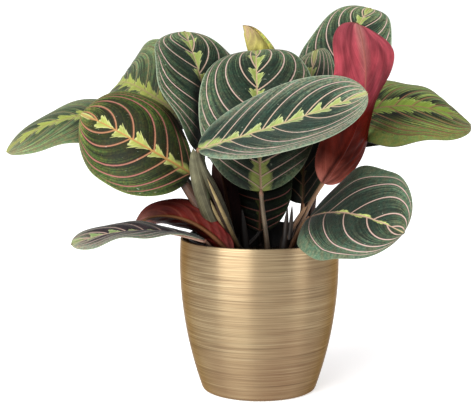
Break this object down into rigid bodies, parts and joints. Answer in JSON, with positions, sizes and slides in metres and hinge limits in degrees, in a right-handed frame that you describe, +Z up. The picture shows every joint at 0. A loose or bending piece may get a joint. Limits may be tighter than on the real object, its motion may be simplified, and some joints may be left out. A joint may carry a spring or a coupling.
{
  "type": "potted prayer plant",
  "caption": "Prayer plant with broad, boldly veined leaves on thin stalks, in a black nursery pot that stands inside a plain brushed gold planter.",
  "frame": {"origin": "centre of the outer pot's flat foot, on the surface that it stands on", "axes": "+Z up; +X to the right and +Y away as the picture sees it"},
  "size_m": [0.3901, 0.3153, 0.3177],
  "materials": {
    "gold_pot": "gold lacquer, brushed in fine level streaks",
    "black_plastic": "plain matte",
    "soil": "loose, crumbly",
    "stalk": "smooth, faintly ribbed",
    "leaf": "satin, finely striped along the veins",
    "young_leaf": "satin"
  },
  "bodies": {
    "root": {"pot": "gold_pot", "nursery_pot": "black_plastic", "soil": "soil", "shoot_left": "stalk", "shoot_front": "stalk", "shoot_low": "stalk", "shoot_middle": "stalk", "shoot_right": "stalk", "shoot_back_left": "stalk", "shoot_back_right": "stalk", "shoot_back": "stalk", "leaf_front": "leaf", "leaf_left": "leaf", "leaf_far_left": "leaf", "leaf_upper_left": "leaf", "leaf_centre": "leaf", "leaf_upper_right": "leaf", "leaf_pink": "leaf", "leaf_right": "leaf", "leaf_lower_right": "leaf", "leaf_red_arch": "leaf", "leaf_low_left": "leaf", "leaf_low_centre": "leaf", "leaf_narrow": "leaf", "leaf_olive": "leaf", "leaf_spear": "young_leaf", "leaf_dark_red": "leaf", "leaf_back_high": "leaf", "leaf_back_low": "leaf", "leaf_back_left_low": "leaf", "leaf_back_left_high": "leaf", "leaf_back_right_high": "leaf", "leaf_back_right_low": "leaf"}
  },
  "joints": []
}
